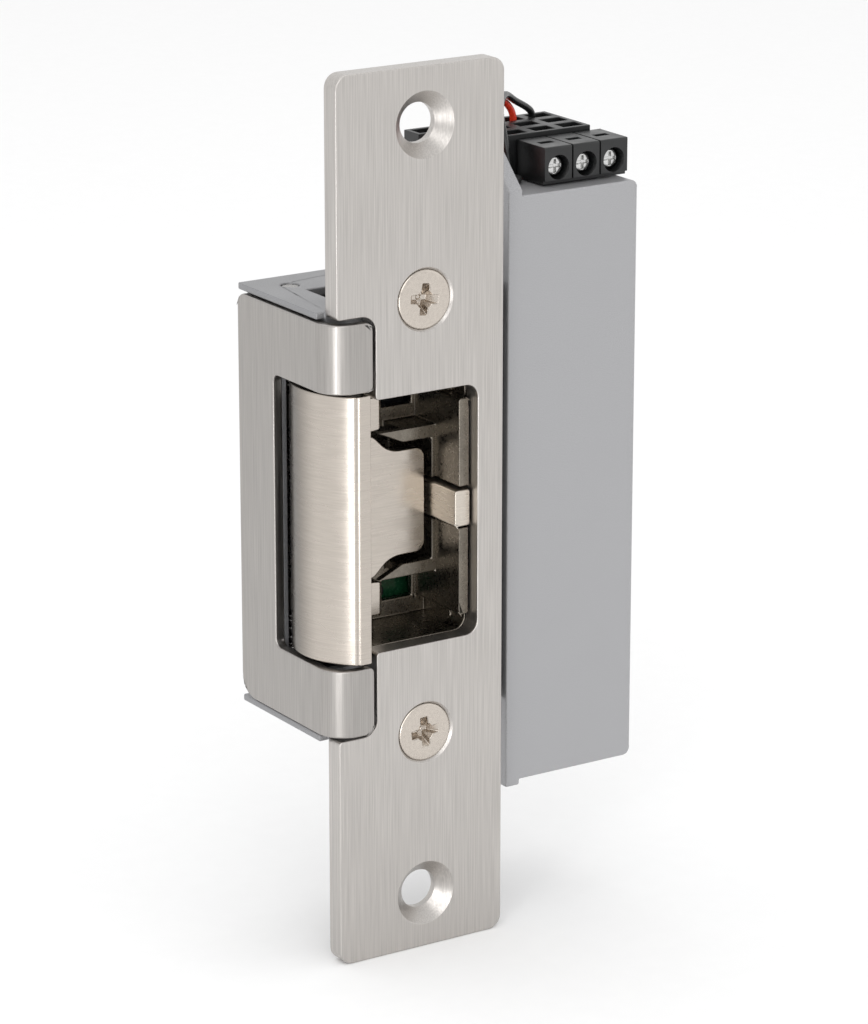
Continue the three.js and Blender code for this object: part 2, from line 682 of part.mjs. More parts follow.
function coverScrew(side) {
  const { x, z, radius, head } = COVER_SCREW;
  const top = CASE.back + GAP;
  return cut(
    join(
      barY(x, side * z, top, top + 1.3, head, head - 0.5, 24),
      barY(x, side * z, top - 8, top + 0.2, radius, radius, 12),
    ),
    box(x - 1.4, x + 1.4, top + 0.5, top + 3, side * z - 0.35, side * z + 0.35),
    box(x - 0.35, x + 0.35, top + 0.5, top + 3, side * z - 1.4, side * z + 1.4),
  );
}

add("solenoid_case", solenoidCase(), "paint");
add("case_grommet", grommet(), "rubber");
add("case_rear_cover", rearCover(), "paint");
for (const [where, side] of upperAndLower) {
  add(`case_rivet_${where}`, caseRivet(side), "nickel");
  add(`cover_lug_${where}`, coverLug(side), "zinc");
  add(`cover_screw_${where}`, coverScrew(side), "nickel");
}

// ---------------------------------------------------------------- terminal block on top of the case

const PORT = { width: 2.7, depth: 1.4, inset: 3.2 };
const BORE = { radius: 2.05, z: 53.5, floor: 2.9 };

const poleCentre = (i) => TERMINAL.left + (i + 0.5) * TERMINAL.pitch;

function terminalPlug() {
  const { left, poles, pitch, front, back, base, top } = TERMINAL;
  const right = left + poles * pitch;
  const body = sidePiece(
    outline([
      [front + 0.6, base],
      [back, base],
      [back, top, 0.3],
      [front, top, 0.4],
      [front, base + 0.6],
      [front + 0.6, base + 0.6],
    ]),
    left,
    right,
  );
  const tools = [];
  for (let i = 0; i < poles; i++) {
    const x = poleCentre(i);
    const y = front + PORT.inset;
    tools.push(barY(x, BORE.z, front - 1, front + BORE.floor, BORE.radius, BORE.radius, 24));
    tools.push(box(x - PORT.width / 2, x + PORT.width / 2, y, y + PORT.depth, top - 0.7, top + 1));
    if (i > 0) {
      const groove = left + i * pitch;
      tools.push(box(groove - 0.15, groove + 0.15, front - 1, front + 0.4, base - 1, top + 1));
      tools.push(box(groove - 0.15, groove + 0.15, front - 1, back + 1, top - 0.3, top + 1));
    }
  }
  return cut(join(body), ...tools);
}

function terminalScrew(i) {
  const x = poleCentre(i);
  const face = TERMINAL.front + 1.3;
  const seat = TERMINAL.front + BORE.floor - 0.2;
  const arm = 1.15;
  const slot = 0.25;
  return cut(
    join(barY(x, BORE.z, face, seat, 1.7, 1.7, 24)),
    box(x - arm, x + arm, face - 1, face + 0.6, BORE.z - slot, BORE.z + slot),
    box(x - slot, x + slot, face - 1, face + 0.6, BORE.z - arm, BORE.z + arm),
  );
}

// The header: a level grid of wells in three rows; the front rows stop short of the leads.
function terminalHeader() {
  const { left, right, front, back, top, columns, rows, start } = HEADER;
  const column = (right - left) / columns;
  const row = (back - front) / rows;
  const rearRow = box(left, right, back - row, back, TERMINAL.base, top);
  const frontRows = box(start, right, front, back - row + 0.5, TERMINAL.base, top);
  const tools = [];
  for (let i = 0; i < columns; i++) {
    for (let j = 0; j < rows; j++) {
      const x0 = left + i * column + 0.8;
      const y0 = front + j * row + 0.8;
      if (j < rows - 1 && x0 < start) continue;
      tools.push(box(x0, x0 + column - 1.6, y0, y0 + row - 1.6, top - 2.6, top + 1));
    }
  }
  return cut(join(rearRow, frontRows), ...tools);
}

add("terminal_plug", terminalPlug(), "blackPlastic");
for (let i = 0; i < TERMINAL.poles; i++) add(`terminal_screw_${i + 1}`, terminalScrew(i), "nickel");
add("terminal_header", terminalHeader(), "blackPlastic");

// ---------------------------------------------------------------- coil leads

const point = (x, y, z) => new THREE.Vector3(x, y, z);
const LEADS = {
  red: [
    point(32.9, 5.2, 32.4),
    point(30.9, 4.6, 36.5),
    point(25.6, 7.4, 42),
    point(24.3, 9.5, 46.8),
    point(24.3, 9.5, 51.5),
    point(24, 10.4, 57),
    point(24.6, 14.6, 60.8),
    point(28.2, 19.4, 62),
    point(32.6, 22.2, 61.2),
    point(34.5, 22.8, 59.8),
    point(35.3, 22.9, 58.2),
    point(35.4, 22.9, 56.2),
  ],
  black: [
    point(35.2, 5, 32.4),
    point(33, 4.2, 37),
    point(27.6, 6.8, 42.5),
    point(25.7, 9.5, 46.8),
    point(25.7, 9.5, 51.5),
    point(25.4, 10.4, 57),
    point(27.2, 14.6, 61.4),
    point(31.7, 20, 62.6),
    point(35.2, 22.1, 60.9),
    point(38.9, 22.9, 58.6),
    point(39.1, 22.9, 56.2),
  ],
};
const LEAD_STEPS = 28;
const LEAD_SIDES = 8;

for (const [colour, points] of Object.entries(LEADS)) {
  const curve = new THREE.CatmullRomCurve3(points);
  const material = colour === "red" ? "redPlastic" : "rubber";
  add(`coil_lead_${colour}`, wire(curve, LEAD_RADIUS, LEAD_STEPS, LEAD_SIDES), material);
}

export default root;
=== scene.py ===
"""Electric door strike: the looks of every piece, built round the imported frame.

The sizes that a user would change stand in property groups, each piece or group of like pieces has an
operator, and a panel in the 3D view's sidebar lists them. Run as a script, it builds the whole strike.
X runs across the faceplate, Y back into the door frame and Z up. The origin is the middle of the
faceplate's back face. Shapes are written in millimetres; the properties hold metres, and so do the
places and sizes of the lights.
"""

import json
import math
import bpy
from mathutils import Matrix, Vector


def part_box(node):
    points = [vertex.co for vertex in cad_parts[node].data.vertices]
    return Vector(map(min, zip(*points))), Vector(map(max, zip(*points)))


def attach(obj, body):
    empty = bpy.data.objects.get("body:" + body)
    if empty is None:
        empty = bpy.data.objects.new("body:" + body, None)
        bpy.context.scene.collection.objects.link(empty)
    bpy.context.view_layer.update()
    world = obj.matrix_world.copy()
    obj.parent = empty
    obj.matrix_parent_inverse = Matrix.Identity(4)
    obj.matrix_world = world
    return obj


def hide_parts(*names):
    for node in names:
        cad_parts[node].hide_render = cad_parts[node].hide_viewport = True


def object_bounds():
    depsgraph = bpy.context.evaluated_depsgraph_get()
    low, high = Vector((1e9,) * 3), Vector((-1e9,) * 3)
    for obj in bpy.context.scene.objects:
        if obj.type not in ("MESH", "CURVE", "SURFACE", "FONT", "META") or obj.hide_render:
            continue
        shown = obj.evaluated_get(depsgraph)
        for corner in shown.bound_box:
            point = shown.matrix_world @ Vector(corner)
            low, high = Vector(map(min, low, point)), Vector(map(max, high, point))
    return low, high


bl_info = {
    "name": "Electric Door Strike",
    "version": (1, 0, 0),
    "blender": (4, 5, 0),
    "location": "View3D > Sidebar > Strike",
    "description": "Builds an electric door strike with a swinging keeper round its packed frame",
    "category": "Add Mesh",
}

import bmesh
import bpy
from bpy.props import FloatProperty, FloatVectorProperty, IntProperty, PointerProperty
from mathutils import Matrix, Vector

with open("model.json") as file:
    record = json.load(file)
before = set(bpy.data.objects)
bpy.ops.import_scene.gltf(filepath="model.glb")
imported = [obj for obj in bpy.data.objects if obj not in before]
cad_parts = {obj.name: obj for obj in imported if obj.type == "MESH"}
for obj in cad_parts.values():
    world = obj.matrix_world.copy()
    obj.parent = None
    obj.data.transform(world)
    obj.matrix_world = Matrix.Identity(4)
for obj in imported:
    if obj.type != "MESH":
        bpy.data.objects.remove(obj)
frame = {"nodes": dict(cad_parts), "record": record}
CAD_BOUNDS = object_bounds()
NODES = frame["nodes"]
BODY_OF = {node: body for body, nodes in frame["record"]["behaviour"]["bodies"].items() for node in nodes}

MM = 0.001
# Points closer than WELD become one. On CAD pieces, so do faces that meet at less than FLAT.
WELD = 0.004 * MM
FLAT = math.radians(0.5)
# Edges that turn by SHARP or more are rounded, and the shading breaks at those that are left.
SHARP = math.radians(32)
# Where the keeper's pin stands, as x and y in millimetres.
KEEPER_PIVOT = (-11, 18.8)
UPPER_AND_LOWER = (("upper", 1), ("lower", -1))


# ---------------------------------------------------------------- properties


def length(name, description, millimetres):
    """A length property whose default is given in millimetres."""
    return FloatProperty(
        name=name,
        description=description,
        default=millimetres * MM,
        unit="LENGTH",
        precision=5,
    )


def srgb(code):
    """The linear colour of an sRGB hex code."""
    parts = [int(code[i : i + 2], 16) / 255 for i in (1, 3, 5)]
    return tuple(p / 12.92 if p <= 0.04045 else ((p + 0.055) / 1.055) ** 2.4 for p in parts)


def colour(name, description, code):
    """A colour property whose default is an sRGB hex code."""
    return FloatVectorProperty(
        name=name,
        description=description,
        default=srgb(code),
        subtype="COLOR",
        size=3,
    )


class STRIKE_PG_plate(bpy.types.PropertyGroup):
    """Sizes of the faceplate and its screws."""

    corner: length("Corner radius", "Radius of the plate's four corners", 2.4)
    edge: length("Edge break", "Rounding of the plate's edges", 0.3)
    notch_x: length("Notch edge", "Where the lip bracket's notch ends", -8.6)
    notch_half: length("Notch half height", "Half the height of the notch", 35.3)
    notch_corner: length("Notch corner", "Inner corner radius of the notch", 2.5)
    opening_right: length("Opening edge", "Right edge of the latch opening", 10.95)
    opening_half: length("Opening half height", "Half the height of the latch opening", 21.3)
    opening_corner: length("Opening corner", "Corner radius of the latch opening", 2.2)
    hole_x: length("Hole line", "Where the screw holes stand across the plate", 0.8)
    hole_z: length("Mounting hole height", "Height of the mounting holes from the middle", 65.09)
    hole_radius: length("Mounting hole radius", "Radius of the mounting holes", 3.3)
    sink_radius: length("Countersink radius", "Radius of the countersink at the face", 5.5)
    sink_depth: length("Countersink depth", "Depth of the countersink", 2.4)
    screw_z: length("Face screw height", "Height of the face screws from the middle", 36.7)
    screw_head: length("Face screw head", "Radius of the face screws' heads", 4.95)
    screw_shank: length("Face screw shank", "Radius of the face screws' shanks", 2.35)


class STRIKE_PG_bracket(bpy.types.PropertyGroup):
    """Sizes of the lip bracket."""

    thick: length("Sheet", "Thickness of the bracket's sheet", 1.8)
    bend: length("Bend radius", "Outer radius of the bend", 4.9)
    window_half: length("Window half height", "Half the height of the keeper's window", 23.2)
    window_back: length("Window depth", "Where the keeper's window ends at the back", 13.5)
    window_corner: length("Window corner", "Corner radius of the keeper's window", 1.3)
    tab_outer: length("Tab outer corner", "Corner radius at the outer end of each front tab", 1.4)
    tab_inner: length("Tab inner corner", "Corner radius at the window end of each front tab", 0.9)


class STRIKE_PG_keeper(bpy.types.PropertyGroup):
    """Sizes of the keeper."""

    half: length("Half height", "Half the height of the keeper's wall", 22.6)
    radius: length("Wall radius", "Radius of the rounded wall", 12.3)
    groove: length("Groove", "Width of the groove between the round wall and its flat lip", 0.55)
    edge: length("Edge break", "Rounding of the keeper's edges", 0.28)
    steps: IntProperty(name="Arc steps", description="Segments in the rounded wall", default=40)


class STRIKE_PG_finish(bpy.types.PropertyGroup):
    """Colours of the finishes that show most."""

    stainless: colour("Stainless steel", "Brushed faceplate and lip bracket", "#bebab6")
    nickel: colour("Satin nickel", "Keeper and face screws", "#bfb7ae")
    # Darker than the casting's own grey: painted shade for the inside of the latch chamber.
    casting: colour("Cast nickel", "Latch frame", "#7c766d")
    paint: colour("Case paint", "Silver-grey paint of the solenoid case", "#a4a4a6")
    nylon: colour("Black nylon", "Terminal block", "#131415")
    red: colour("Red lead", "Insulation of the red coil lead", "#dc3a22")


class STRIKE_PG_stage(bpy.types.PropertyGroup):
    """The camera and the studio light."""

    azimuth: FloatProperty(
        name="Azimuth",
        description="Turn of the camera round the strike",
        default=math.radians(32.914),
        subtype="ANGLE",
    )
    elevation: FloatProperty(
        name="Elevation",
        description="Height angle of the camera",
        default=math.radians(16.922),
        subtype="ANGLE",
    )
    distance: length("Distance", "From the origin to the camera", 690.71)
    lens: FloatProperty(name="Lens", description="Focal length in millimetres", default=149.07)
    world: FloatProperty(name="World light", description="Strength of the studio's white walls", default=0.98)


class STRIKE_PG_settings(bpy.types.PropertyGroup):
    """All settings of the strike."""

    plate: PointerProperty(type=STRIKE_PG_plate)
    bracket: PointerProperty(type=STRIKE_PG_bracket)
    keeper: PointerProperty(type=STRIKE_PG_keeper)
    finish: PointerProperty(type=STRIKE_PG_finish)
    stage: PointerProperty(type=STRIKE_PG_stage)


# ---------------------------------------------------------------- shapes


def rounded(points, steps=8):
    """The points of a closed outline whose (x, y, radius) corners are rounded."""
    made = []
    for i, (x, y, *rest) in enumerate(points):
        radius = rest[0] if rest else 0
        here = Vector((x, y))
        if radius == 0:
            made.append(here)
            continue
        back = (Vector(points[i - 1][:2]) - here).normalized()
        ahead = (Vector(points[(i + 1) % len(points)][:2]) - here).normalized()
        half_angle = back.angle(ahead) / 2
        centre = here + (back + ahead).normalized() * radius / math.sin(half_angle)
        start = here + back * radius / math.tan(half_angle) - centre
        sweep = math.copysign(math.pi - 2 * half_angle, start.cross(here + ahead - centre))
        for k in range(steps + 1):
            turn = Matrix.Rotation(sweep * k / steps, 2)
            made.append(centre + turn @ start)
    return made


def object_from(name, mesh_edit):
    """A new object from a bmesh, its normals facing out."""
    bmesh.ops.recalc_face_normals(mesh_edit, faces=mesh_edit.faces)
    mesh = bpy.data.meshes.new(name)
    mesh_edit.to_mesh(mesh)
    mesh_edit.free()
    made = bpy.data.objects.new(name, mesh)
    bpy.context.scene.collection.objects.link(made)
    return made


# Where a point (u, v) of an outline stands at w along each axis.
PLACES = {
    "X": lambda u, v, w: (w, u, v),
    "Y": lambda u, v, w: (u, w, v),
    "Z": lambda u, v, w: (u, v, w),
}


def walls(edit, before, after):
    """The faces between two rings of equally many points."""
    for k in range(len(before)):
        edit.faces.new((before[k - 1], before[k], after[k], after[k - 1]))


def prism(name, outline, axis, low, high):
    """A closed prism along X, Y or Z over an outline, all in millimetres."""
    edit = bmesh.new()
    place = PLACES[axis]
    rings = [[edit.verts.new(Vector(place(u, v, w)) * MM) for u, v in outline] for w in (low, high)]
    for ring in rings:
        edit.faces.new(ring)
    walls(edit, *rings)
    return object_from(name, edit)


def turned(name, profile, centre, axis="Y", sides=64):
    """A solid of revolution from (radius, place along the axis) points, in millimetres."""
    edit = bmesh.new()
    place = PLACES[axis]
    spots = {"X": (centre[1], centre[2]), "Y": (centre[0], centre[2]), "Z": (centre[0], centre[1])}[axis]
    rings = []
    for radius, along in profile:
        angles = [2 * math.pi * k / sides for k in range(sides)]
        ring = [(spots[0] + radius * math.cos(a), spots[1] + radius * math.sin(a)) for a in angles]
        rings.append([edit.verts.new(Vector(place(u, v, along)) * MM) for u, v in ring])
    for before, after in zip(rings, rings[1:]):
        walls(edit, before, after)
    edit.faces.new(rings[0])
    edit.faces.new(rings[-1])
    return object_from(name, edit)


def block(name, x, y, z):
    """A plain box between pairs of limits, as a tool for cutting or a part of a joined piece."""
    return prism(name, [(x[0], y[0]), (x[1], y[0]), (x[1], y[1]), (x[0], y[1])], "Z", *z)


def bake(piece):
    """Turns the result of a piece's modifiers into its own mesh."""
    depsgraph = bpy.context.evaluated_depsgraph_get()
    made = bpy.data.meshes.new_from_object(piece.evaluated_get(depsgraph))
    piece.modifiers.clear()
    piece.data = made


def boolean(base, operation, *tools):
    """Joins tools to the base, cuts them out of it or keeps what they share, then deletes them."""
    for tool in tools:
        step = base.modifiers.new(operation.lower(), "BOOLEAN")
        step.operation = operation
        step.solver = "EXACT"
        step.object = tool
        bake(base)
        bpy.data.objects.remove(tool)
    return base


def smooth_group():
    """A node group that shades every face smooth and marks the edges that turn by SHARP or more."""
    name = "smooth_faces_sharp_edges"
    if name in bpy.data.node_groups:
        return bpy.data.node_groups[name]
    tree = bpy.data.node_groups.new(name, "GeometryNodeTree")
    for direction in ("INPUT", "OUTPUT"):
        tree.interface.new_socket("Geometry", in_out=direction, socket_type="NodeSocketGeometry")
    entry = add_node(tree, "NodeGroupInput")
    faces = add_node(tree, "GeometryNodeSetShadeSmooth", links={"Geometry": entry.outputs[0]})
    angle = add_node(tree, "GeometryNodeInputMeshEdgeAngle")
    flat = add_node(
        tree,
        "FunctionNodeCompare",
        {"operation": "LESS_THAN"},
        {"B": SHARP},
        {"A": angle.outputs["Unsigned Angle"]},
    )
    edges = add_node(
        tree,
        "GeometryNodeSetShadeSmooth",
        {"domain": "EDGE"},
        links={"Geometry": faces.outputs[0], "Shade Smooth": flat.outputs[0]},
    )
    add_node(tree, "NodeGroupOutput", links={"Geometry": edges.outputs[0]})
    return tree


def round_edges(piece, edge, steps):
    """Adds a bevel of so many millimetres along the edges that turn by SHARP or more."""
    bevel = piece.modifiers.new("rounded_edges", "BEVEL")
    bevel.width = edge * MM
    bevel.segments = steps
    bevel.limit_method = "ANGLE"
    bevel.angle_limit = SHARP
    bevel.use_clamp_overlap = False


def dress(piece, material, edge=0.2, steps=3):
    """Gives a piece its material, rounds its edges by so many millimetres and shades it smoothly."""
    piece.data.materials.clear()
    piece.data.materials.append(material)
    weld = piece.modifiers.new("weld", "WELD")
    weld.merge_threshold = WELD
    if piece in NODES.values():
        flat = piece.modifiers.new("flat_faces", "DECIMATE")
        flat.decimate_type = "DISSOLVE"
        flat.angle_limit = FLAT
    split = piece.modifiers.new("split_large_faces", "TRIANGULATE")
    split.min_vertices = 5
    if edge:
        round_edges(piece, edge, steps)
    shade = piece.modifiers.new("smooth", "NODES")
    shade.node_group = smooth_group()
    normals = piece.modifiers.new("normals", "WEIGHTED_NORMAL")
    normals.keep_sharp = True
    return piece


def eased(piece, edge, steps=4):
    """Rounds the edges of a plain solid by so many millimetres, before anything is cut out of it."""
    round_edges(piece, edge, steps)
    bake(piece)
    return piece


def rim(radius, face, edge, steps=4):
    """The mouth of a countersink cutter's profile: a rounded rim that ends leaning at 45 degrees."""
    points = [(radius + edge + 0.4, face - 0.4), (radius + edge, face)]
    for k in range(1, steps + 1):
        turn = math.pi / 4 * k / steps
        points.append((radius + edge - edge * math.sin(turn), face + edge - edge * math.cos(turn)))
    return points


def stand_for(piece, *nodes):
    """A new piece takes the place and the body of CAD nodes, which are hidden."""
    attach(piece, BODY_OF[nodes[0]])
    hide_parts(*nodes)
    return piece


def added(piece, body):
    """A new piece that stands for no CAD node."""
    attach(piece, body)
    return piece


def wire(name, points, radius, material):
    """A round wire through points in millimetres, as a curve with closed ends."""
    data = bpy.data.curves.new(name, "CURVE")
    data.dimensions = "3D"
    data.bevel_depth = radius * MM
    data.bevel_resolution = 4
    data.use_fill_caps = True
    spline = data.splines.new("POLY")
    spline.points.add(len(points) - 1)
    for spot, place in zip(spline.points, points):
        spot.co = (*(Vector(place) * MM), 1)
    spline.use_smooth = True
    data.materials.append(material)
    made = bpy.data.objects.new(name, data)
    bpy.context.scene.collection.objects.link(made)
    return made


def through(points, steps=10):
    """A smooth run of points through the given ones."""
    ends = [points[0], *points, points[-1]]
    made = []
    for a, b, c, d in zip(ends, ends[1:], ends[2:], ends[3:]):
        a, b, c, d = (Vector(p) for p in (a, b, c, d))
        for k in range(steps):
            t = k / steps
            bend = (2 * a - 5 * b + 4 * c - d) * t * t + (3 * b - a - 3 * c + d) * t**3
            made.append((2 * b + (c - a) * t + bend) / 2)
    made.append(Vector(points[-1]))
    return made


# ---------------------------------------------------------------- materials


def add_node(tree, kind, settings=None, values=None, links=None):
    """Adds a node with its settings, its sockets' values and the outputs that feed its sockets."""
    node = tree.nodes.new(kind)
    for name, value in (settings or {}).items():
        setattr(node, name, value)
    for name, value in (values or {}).items():
        node.inputs[name].default_value = value
    for name, source in (links or {}).items():
        tree.links.new(source, node.inputs[name])
    return node


def surface(name, **values):
    """A material with one Principled shader whose sockets hold the given values."""
    if name in bpy.data.materials:
        return bpy.data.materials[name], None, None
    material = bpy.data.materials.new(name)
    material.use_nodes = True
    tree = material.node_tree
    shader = tree.nodes["Principled BSDF"]
    for socket, value in values.items():
        shader.inputs[socket.replace("_", " ")].default_value = value
    return material, tree, shader


def grain(tree, size, detail=3.0, seed=0.0):
    """A noise whose grains are so many millimetres long along X, Y and Z."""
    place = add_node(tree, "ShaderNodeTexCoord")
    scaled = add_node(
        tree,
        "ShaderNodeMapping",
        values={"Scale": [1 / (s * MM) for s in size], "Location": (seed, seed, seed)},
        links={"Vector": place.outputs["Object"]},
    )
    noise = add_node(
        tree,
        "ShaderNodeTexNoise",
        values={"Scale": 1.0, "Detail": detail},
        links={"Vector": scaled.outputs[0]},
    )
    return noise.outputs["Fac"]


def tint(tree, shader, pattern, base, spread, low=0.35, high=0.65):
    """Varies the base colour by a share of its brightness from the pattern's low to its high."""
    ramp = add_node(tree, "ShaderNodeValToRGB", links={"Fac": pattern})
    for stop, place, share in zip(ramp.color_ramp.elements, (low, high), (1 - spread, 1 + spread)):
        stop.position = place
        stop.color = (*(min(c * share, 1) for c in base), 1)
    tree.links.new(ramp.outputs["Color"], shader.inputs["Base Color"])


def paint_shade(tree, shader, direction, places, shares):
    """Paints shade into the base colour: scales it along a direction, from the first share at the first place
    in millimetres to the second share at the second place."""
    spot = add_node(tree, "ShaderNodeTexCoord")
    along = add_node(
        tree,
        "ShaderNodeVectorMath",
        {"operation": "DOT_PRODUCT"},
        links={"Vector": spot.outputs["Object"]},
    )
    along.inputs[1].default_value = direction
    start, end = (place * MM for place in places)
    share = add_node(
        tree,
        "ShaderNodeMapRange",
        {"interpolation_type": "SMOOTHSTEP"},
        {"From Min": start, "From Max": end, "To Min": shares[0], "To Max": shares[1]},
        {"Value": along.outputs["Value"]},
    )
    source = shader.inputs["Base Color"].links[0].from_socket
    scaled = add_node(
        tree,
        "ShaderNodeVectorMath",
        {"operation": "SCALE"},
        links={"Vector": source, "Scale": share.outputs[0]},
    )
    tree.links.new(scaled.outputs[0], shader.inputs["Base Color"])


def sheen_of(tree, shader, pattern, smooth, rough):
    """Varies the roughness between two values with the pattern."""
    spread = add_node(
        tree,
        "ShaderNodeMapRange",
        values={"From Min": 0.3, "From Max": 0.7, "To Min": smooth, "To Max": rough},
        links={"Value": pattern},
    )
    tree.links.new(spread.outputs[0], shader.inputs["Roughness"])


def relief(tree, shader, pattern, depth):
    """Raises the surface by so many millimetres with the pattern."""
    bump = add_node(
        tree,
        "ShaderNodeBump",
        values={"Strength": 1.0, "Distance": depth * MM},
        links={"Height": pattern},
    )
    tree.links.new(bump.outputs[0], shader.inputs["Normal"])


def brushed_stainless(finish, name="brushed_stainless_steel", share=1.0):
    """Stainless sheet brushed up and down: long fine streaks that widen reflections sideways.
    The real scratches are about 0.05 mm wide; they are drawn 0.2 mm wide so that they show."""
    material, tree, shader = surface(name, Metallic=1.0, Roughness=0.34)
    if tree:
        # A share below 1 gives a darker copy of the same steel: painted shade, used for the lip bracket.
        base = [c * share for c in finish.stainless]
        streaks = grain(tree, (0.2, 0.2, 14), 4)
        tint(tree, shader, streaks, base, 0.1)
        sheen_of(tree, shader, grain(tree, (0.35, 0.35, 20), 3, 5), 0.28, 0.44)
        relief(tree, shader, streaks, 0.006)
    return material


def satin_nickel(finish):
    """Nickel plate over steel polished round the curve: warm, soft highlights, fine cross streaks.
    The real polishing lines are about 0.04 mm apart; they are drawn 0.15 mm apart so that they show.
    Shade is painted into the colour: it is drawn darker where the wall turns away behind the lip bracket."""
    material, tree, shader = surface("satin_nickel_plate", Metallic=1.0, Roughness=0.26)
    if tree:
        lines = grain(tree, (5, 5, 0.15), 4)
        tint(tree, shader, lines, finish.nickel, 0.06)
        # Painted shade: the wall darkens to 0.12 of its colour towards its back and left, behind the lip
        # bracket.
        paint_shade(tree, shader, direction=(-0.9, 1, 0), places=(16, 26), shares=(1.0, 0.12))
        sheen_of(tree, shader, grain(tree, (7, 7, 2.5), 2, 3), 0.2, 0.32)
        relief(tree, shader, lines, 0.0025)
    return material


def screw_nickel(finish):
    """Nickel-plated screw steel, tumbled: satin with small dents from the barrel."""
    material, tree, shader = surface("nickel_plated_screw_steel", Metallic=1.0, Roughness=0.28)
    if tree:
        dents = grain(tree, (0.5, 0.5, 0.5), 3)
        tint(tree, shader, dents, [c * 1.12 for c in finish.nickel], 0.05)
        sheen_of(tree, shader, dents, 0.2, 0.34)
        relief(tree, shader, dents, 0.003)
    return material


def cast_nickel(finish):
    """Zinc die casting under nickel: mottled, with a skin a little rough to the eye.
    Its colour is kept darker than the casting's own grey: painted shade for the inside of the latch chamber.
    """
    material, tree, shader = surface("nickel_plated_zinc_casting", Metallic=1.0, Roughness=0.32)
    if tree:
        skin = grain(tree, (0.6, 0.6, 0.6), 5)
        tint(tree, shader, grain(tree, (2.2, 2.2, 3.5), 3, 7), finish.casting, 0.08)
        sheen_of(tree, shader, skin, 0.2, 0.42)
        relief(tree, shader, skin, 0.006)
    return material


def sensor_satin():
    """Satin steel strip of the sensor: warm light grey with fine lines along its length."""
    material, tree, shader = surface("satin_steel_strip", Metallic=1.0, Roughness=0.3)
    if tree:
        lines = grain(tree, (3, 3, 0.2), 3)
        tint(tree, shader, lines, srgb("#cfc7bc"), 0.05)
        sheen_of(tree, shader, lines, 0.24, 0.36)
        relief(tree, shader, lines, 0.003)
    return material


def spring_steel():
    """Drawn spring wire: grey, with faint drawing lines and a soft gloss."""
    material, tree, shader = surface("drawn_spring_steel", Metallic=1.0, Roughness=0.3)
    if tree:
        lines = grain(tree, (0.4, 0.4, 0.4), 3)
        tint(tree, shader, lines, srgb("#9a9896"), 0.08)
        sheen_of(tree, shader, lines, 0.22, 0.36)
        relief(tree, shader, lines, 0.004)
    return material


def silver_paint(finish, name="silver_grey_paint", share=1.0):
    """Aluminium-flake paint, sprayed: a fine sparkle over a soft orange peel.
    The real flakes are about 0.03 mm; they are drawn 0.14 mm so that they show."""
    material, tree, shader = surface(name, Metallic=0.45, Roughness=0.4)
    if tree:
        flakes = grain(tree, (0.14, 0.14, 0.14), 2)
        base = [c * share for c in finish.paint]
        tint(tree, shader, flakes, base, 0.17, 0.3, 0.7)
        sheen_of(tree, shader, grain(tree, (9, 9, 9), 2, 4), 0.36, 0.46)
        relief(tree, shader, grain(tree, (0.5, 0.5, 0.5), 2, 2), 0.006)
    return material


def zinc_sheet():
    """Zinc-plated steel: cool grey with a faint yellow-green bloom from passivation."""
    material, tree, shader = surface("zinc_plated_steel", Metallic=1.0, Roughness=0.36)
    if tree:
        bloom = grain(tree, (6, 6, 6), 4)
        tint(tree, shader, bloom, srgb("#b5b5a4"), 0.1)
        sheen_of(tree, shader, bloom, 0.28, 0.44)
        relief(tree, shader, grain(tree, (0.4, 0.4, 3), 3, 6), 0.004)
    return material


def bright_zinc():
    """Bright zinc on small screws: clean, light and glossy, with fine turning marks."""
    material, tree, shader = surface("bright_zinc_screw", Metallic=1.0, Roughness=0.2)
    if tree:
        marks = grain(tree, (0.25, 0.25, 0.25), 3)
        tint(tree, shader, marks, srgb("#d2d2d1"), 0.08)
        sheen_of(tree, shader, marks, 0.14, 0.28)
        relief(tree, shader, marks, 0.004)
    return material


def black_nylon(finish, name="moulded_black_nylon", rough=0.34):
    """Moulded nylon: near black, half gloss, with a fine spark-eroded skin.
    The real skin's pits are about 0.05 mm; they are drawn 0.2 mm so that they show.
    The header, the switch's shell and the epoxy of the board's chips take it a little duller."""
    material, tree, shader = surface(name, Metallic=0.0, Roughness=rough, IOR=1.53)
    if tree:
        skin = grain(tree, (0.2, 0.2, 0.2), 3)
        tint(tree, shader, skin, finish.nylon, 0.18)
        sheen_of(tree, shader, grain(tree, (3, 3, 3), 2, 3), rough - 0.06, rough + 0.08)
        relief(tree, shader, skin, 0.006)
    return material


def natural_nylon():
    """Natural nylon: creamy and a little waxy, light coming through its edges."""
    material, tree, shader = surface(
        "moulded_natural_nylon", Roughness=0.42, IOR=1.53, Subsurface_Weight=0.15
    )
    if tree:
        skin = grain(tree, (1.2, 1.2, 1.2), 3)
        tint(tree, shader, skin, srgb("#d9d2c0"), 0.05)
        sheen_of(tree, shader, skin, 0.36, 0.48)
        relief(tree, shader, skin, 0.006)
    return material


def enamelled_copper():
    """Copper magnet wire under clear enamel: warm, glossy ridges, one above the other.
    The real turns are about 0.3 mm apart; they are drawn 3 mm apart."""
    material, tree, shader = surface(
        "enamelled_copper_wire", Metallic=1.0, Roughness=0.28, Coat_Weight=0.5, Coat_Roughness=0.12
    )
    if tree:
        # A wave texture of scale 1 runs through 20 radians in a metre.
        pitch = 3 * MM
        scale = 2 * math.pi / (20 * pitch)
        place = add_node(tree, "ShaderNodeTexCoord")
        turns = add_node(
            tree,
            "ShaderNodeTexWave",
            {"bands_direction": "Z"},
            {"Scale": scale, "Distortion": 0.3, "Detail": 1.0},
            {"Vector": place.outputs["Object"]},
        )
        tint(tree, shader, turns.outputs["Fac"], srgb("#b8683a"), 0.22, 0.1, 0.9)
        sheen_of(tree, shader, grain(tree, (1, 1, 1), 2), 0.22, 0.34)
        relief(tree, shader, turns.outputs["Fac"], 0.08)
    return material


